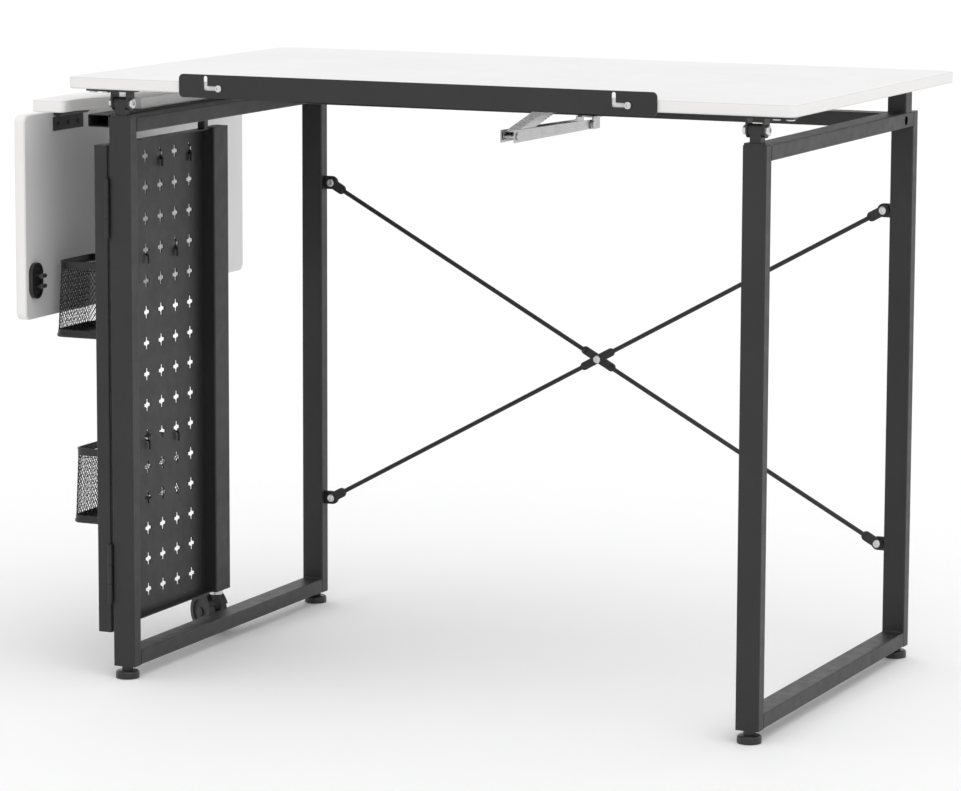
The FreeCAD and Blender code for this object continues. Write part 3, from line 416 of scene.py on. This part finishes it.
def plan_point(share, x, y, corner):
    """Point at a share of the way round a rounded rectangle.

    The way starts on the low-Y side, where the low-X corner's round ends, and runs towards +X."""
    wide, deep = x[1] - x[0] - 2 * corner, y[1] - y[0] - 2 * corner
    arc = math.pi * corner / 2
    s = (share % 1.0) * (2 * (wide + deep) + 4 * arc)
    legs = ((wide, (x[0] + corner, y[0]), 0), (deep, (x[1], y[0] + corner), 90),
            (wide, (x[1] - corner, y[1]), 180), (deep, (x[0], y[1] - corner), 270))
    centres = ((x[1] - corner, y[0] + corner), (x[1] - corner, y[1] - corner),
               (x[0] + corner, y[1] - corner), (x[0] + corner, y[0] + corner))
    for (length, start, heading), centre in zip(legs, centres):
        turn = math.radians(heading)
        if s <= length:
            return (start[0] + s * math.cos(turn), start[1] + s * math.sin(turn))
        s -= length
        if s <= arc:
            angle = turn - math.pi / 2 + s / corner
            return (centre[0] + corner * math.cos(angle), centre[1] + corner * math.sin(angle))
        s -= arc
    return (x[0] + corner, y[0])


class Cup:
    """Wall of one mesh cup: it widens towards its floor on three sides."""

    def __init__(self, out_x, y, floor, flare):
        self.out_x, self.y, self.floor, self.flare = out_x, y, floor, flare

    def plan(self, height, proud=0.0):
        """X span, Y span and corner at a height above the floor, grown outwards by proud."""
        wide = self.flare * (1 - height / CUP_H) + proud
        return ((self.out_x - wide, CUP_BACK + proud),
                (self.y[0] - wide, self.y[1] + wide), CUP_CORNER + proud)

    def point(self, share, height, proud):
        x, y = plan_point(share, *self.plan(height, proud))
        return at(x, y, self.floor + height)

    def ring(self, height, proud, count=96):
        return [self.point(i / count, height, proud) for i in range(count)]

    def band(self, profile):
        """Closed hoop whose section is a loop of (proud, height) points."""
        return loft([self.ring(height, proud) for proud, height in profile], ring_closed=True)

    def lattice(self):
        """Diamonds of the expanded metal between the base band and the rim band."""
        (x, y, corner) = self.plan(0)
        girth = 2 * (x[1] - x[0] + y[1] - y[0]) - (8 - 2 * math.pi) * corner
        columns = round(girth / CELL_W)
        low, high = BASE_H - LATTICE_TUCK, CUP_H - RIM_H + LATTICE_TUCK
        rows = 2 * round((high - low) / CELL_H)
        verts, faces = [], []
        for j in range(rows + 1):
            height = low + (high - low) * j / rows
            for i in range(columns):
                verts.append(self.point((i + 0.5 * (j % 2)) / columns, height, -STRAND / 2))

        def index(j, i):
            return j * columns + i % columns

        for j in range(rows - 1):
            for i in range(columns):
                right = i + j % 2
                faces.append((index(j, i), index(j + 1, right), index(j + 2, i),
                              index(j + 1, right - 1)))
        for i in range(columns):
            faces.append((index(0, i), index(0, i + 1), index(1, i)))
            faces.append((index(rows, i), index(rows - 1, i), index(rows - 1, i - 1)))
        return verts, faces


def rim_section(steps=8):
    """Section of the rim band: a flat strip with a rolled bead along its upper edge."""
    middle, height = RIM_PROUD - RIM_T / 2, CUP_H - RIM_BEAD
    start, sweep = -60.0, 300.0
    loop = [(RIM_PROUD - RIM_T, CUP_H - RIM_H), (RIM_PROUD, CUP_H - RIM_H)]
    for i in range(steps + 1):
        turn = math.radians(start + sweep * i / steps)
        loop.append((middle + RIM_BEAD * math.cos(turn), height + RIM_BEAD * math.sin(turn)))
    return loop


def make_lattice(name, cup):
    verts, faces = cup.lattice()
    mesh = piece(name + "_lattice", verts, faces, "panel", "black_wire")
    strands = mesh.modifiers.new("strands", "WIREFRAME")
    strands.thickness = STRAND * MM
    strands.use_even_offset = False
    strands.use_boundary = True
    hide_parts(name)


def make_bands(name, cup):
    """Rim band, base band, and the tray that closes the cup's floor."""
    shell = Parts()
    shell.grow(*cup.band(rim_section()))
    shell.grow(*cup.band(BASE_SECTION))
    shell.grow(*cup.band(TRAY_SECTION))
    shell.grow(*loft([cup.ring(height, TRAY_PROUD) for height in TRAY_Z]))
    smooth(piece(name + "_bands", shell.verts, shell.faces, "panel", "black_wire"))


def make_cup_hooks(name, floor, columns, row):
    """Wires that rise behind the cup, pass through the peg holes and hang down behind them."""
    hooks = Parts()
    back = CUP_BACK - CUP_STAND_OFF
    foot = floor + CUP_H - CUP_FOOT
    for column in columns:
        y, z = peg(row, column)
        level = z - PEG_ARM + CUP_WIRE_LIFT
        points = ((back, y, foot), (back, y, level), (TAIL_X, y, level),
                  (TAIL_X, y, level - CUP_TAIL))
        hooks.grow(*wire(points, CUP_WIRE, CUP_BEND))
    smooth(piece(name + "_hooks", hooks.verts, hooks.faces, "panel", "black_wire"), 60)


def make_cup(name, out_x, y, floor, flare, columns, row):
    cup = Cup(out_x, y, floor, flare)
    make_lattice(name, cup)
    make_bands(name, cup)
    make_cup_hooks(name, floor, columns, row)


for cup_row in CUPS:
    make_cup(*cup_row)


# ---------------------------------------------------------------- single hooks


def pressed_plate(x, y, z, corner, round_edge, count=48):
    """Plate in a Y-Z plane with rounded corners and softened edges, over X span x."""
    rings = []
    chamfer = round_edge * 0.3
    for depth, inset in ((x[1], 0.0), (x[0] + round_edge, 0.0), (x[0] + chamfer, chamfer),
                         (x[0], round_edge)):
        ring = []
        for i in range(count):
            a, b = plan_point(i / count, (y[0] + inset, y[1] - inset),
                              (z[0] + inset, z[1] - inset), corner - inset)
            ring.append(at(depth, a, b))
        rings.append(ring)
    return loft(rings)


def make_single_hooks():
    """Pressed plates on the sheet, each with a wire tab through it and an arm that turns up."""
    hooks = Parts()
    plate_x = tuple(SHEET_X + dx for dx in PLATE_X)
    tip_x = SHEET_X - ARM_REACH
    for row, column in SINGLE_HOOK_PEGS:
        y, z = peg(row, column)
        tab_z = z - PEG_ARM + TAB_LIFT
        hooks.grow(*pressed_plate(plate_x, (y - PLATE_HALF_Y, y + PLATE_HALF_Y),
                                  (z + PLATE_Z[0], z + PLATE_Z[1]), PLATE_CORNER, PLATE_EDGE))
        hooks.grow(*wire(((SHEET_X - 2, y, tab_z), (TAIL_X, y, tab_z),
                          (TAIL_X, y, tab_z - TAB_TAIL)), HOOK_WIRE, TAB_BEND))
        hooks.grow(*wire(((SHEET_X - 1, y, z + ARM_Z[0]), (tip_x, y, z + ARM_Z[1]),
                          (tip_x, y, z + ARM_TIP_Z)), HOOK_WIRE, ARM_BEND))
    made = smooth(piece("single_peg_hooks", hooks.verts, hooks.faces, "panel", "black_wire"), 50)
    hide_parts("peg_hooks")


make_single_hooks()


# ---------------------------------------------------------------- stay elbow


def make_elbow_bar():
    """Spacer bar between the upper arm's cheeks, seen in the open end of the stay's elbow."""
    x, y, z = STAY_ELBOW
    bar = wire(((x - SPACER_HALF, y, z), (x + SPACER_HALF, y, z)), SPACER_R)
    smooth(piece("stay_elbow_bar", *bar, "stay_upper", "bright_steel"), 60)


make_elbow_bar()


# ---------------------------------------------------------------- weld beads


def bead(start, stop, leg_a, leg_b, size, pitch=2.2):
    """Fillet weld along a line between two faces: a row of overlapping ripples.

    leg_a and leg_b point from the corner along each face."""
    start, stop = Vector(start), Vector(stop)
    leg_a, leg_b = Vector(leg_a), Vector(leg_b)
    rings_per_ripple, ripple, root = 4, 0.10, 0.3
    end_size, end_growth, belly = 0.35, 0.3, 0.78
    count = max(3, round((stop - start).length / (pitch / rings_per_ripple)))
    rings = []
    for i in range(count + 1):
        point = start.lerp(stop, i / count)
        taper = min(1.0, end_size + min(i, count - i) * end_growth)
        wave = 1 + ripple * math.cos(2 * math.pi * i / rings_per_ripple)
        reach = size * taper * wave
        section = [point - (leg_a + leg_b) * root]
        for turn in (0, 22.5, 45, 67.5, 90):
            angle = math.radians(turn)
            bulge = reach * (1.0 if turn in (0, 90) else belly)
            section.append(point + (leg_a * math.cos(angle) + leg_b * math.sin(angle)) * bulge)
        rings.append([at(*p) for p in section])
    return loft(rings)


def make_welds():
    """Beads across the inner corners of both end frames."""
    welds = Parts()
    for left in (0.0, FRAME_W - TUBE_W):
        x = (left + WELD_INSET, left + TUBE_W - WELD_INSET)
        for y, inward in ((TUBE_T, 1), (FRAME_D - TUBE_T, -1)):
            for z, upward in ((TUBE_T, 1), (FRAME_H - TUBE_T, -1)):
                welds.grow(*bead((x[0], y, z), (x[1], y, z), (0, inward, 0), (0, 0, upward),
                                 WELD_SIZE))
    smooth(piece("frame_weld_beads", welds.verts, welds.faces, "frame", "powder_coat"), 70)


make_welds()


# ---------------------------------------------------------------- floor, light and camera


def make_floor():
    corners = [(x * FLOOR_HALF, y * FLOOR_HALF, FLOOR_Z)
               for x, y in ((-1, -1), (1, -1), (1, 1), (-1, 1))]
    mesh = bpy.data.meshes.new("studio_floor")
    mesh.from_pydata(corners, [], [(0, 1, 2, 3)])
    floor = bpy.data.objects.new("studio_floor", mesh)
    bpy.context.scene.collection.objects.link(floor)
    made, tree, shader = new_material("pale_floor", Roughness=0.75, Specular_IOR_Level=0.2)
    colour = blend_colours(tree, noise(tree, 1.5, 3.0), grey(0.93), grey(0.95))
    tree.links.new(colour, shader.inputs["Base Color"])
    mesh.materials.append(made)


def make_sky():
    """Even white surroundings, a little dimmer towards the front than behind and above."""
    world = bpy.data.worlds.new("studio")
    bpy.context.scene.world = world
    world.use_nodes = True
    tree = world.node_tree
    background = tree.nodes["Background"]
    direction = add(tree, "ShaderNodeTexCoord").outputs["Generated"]
    towards = add(tree, "ShaderNodeVectorMath", {0: direction, 1: SKY_AXIS},
                  operation="DOT_PRODUCT").outputs["Value"]
    strength = spread(tree, towards, *SKY_STRENGTH, -SKY_SPAN, SKY_SPAN)
    tree.links.new(strength, background.inputs["Strength"])
    background.inputs["Color"].default_value = grey(1.0)


def make_key_light():
    """Very wide, soft key from the front, right and above, as even as a studio ceiling."""
    light = bpy.data.lights.new("soft_key", "SUN")
    light.energy = KEY_ENERGY
    light.angle = math.radians(KEY_ANGLE)
    lamp = bpy.data.objects.new("soft_key", light)
    bpy.context.scene.collection.objects.link(lamp)
    lamp.matrix_world = Vector(KEY_FROM).to_track_quat("Z", "Y").to_matrix().to_4x4()


def make_camera():
    data = bpy.data.cameras.new("camera")
    data.lens, data.sensor_width = LENS, SENSOR
    data.clip_end = CLIP_END
    camera = bpy.data.objects.new("camera", data)
    bpy.context.scene.collection.objects.link(camera)
    camera.matrix_world = (Matrix.Translation(CAMERA_AT)
                           @ Matrix.Rotation(math.radians(CAMERA_YAW), 4, "Z")
                           @ Matrix.Rotation(math.radians(90 - CAMERA_PITCH), 4, "X")
                           @ Matrix.Rotation(math.radians(CAMERA_ROLL), 4, "Z"))
    bpy.context.scene.camera = camera


make_floor()
make_sky()
make_key_light()
make_camera()
bpy.context.scene.view_settings.view_transform = "Standard"
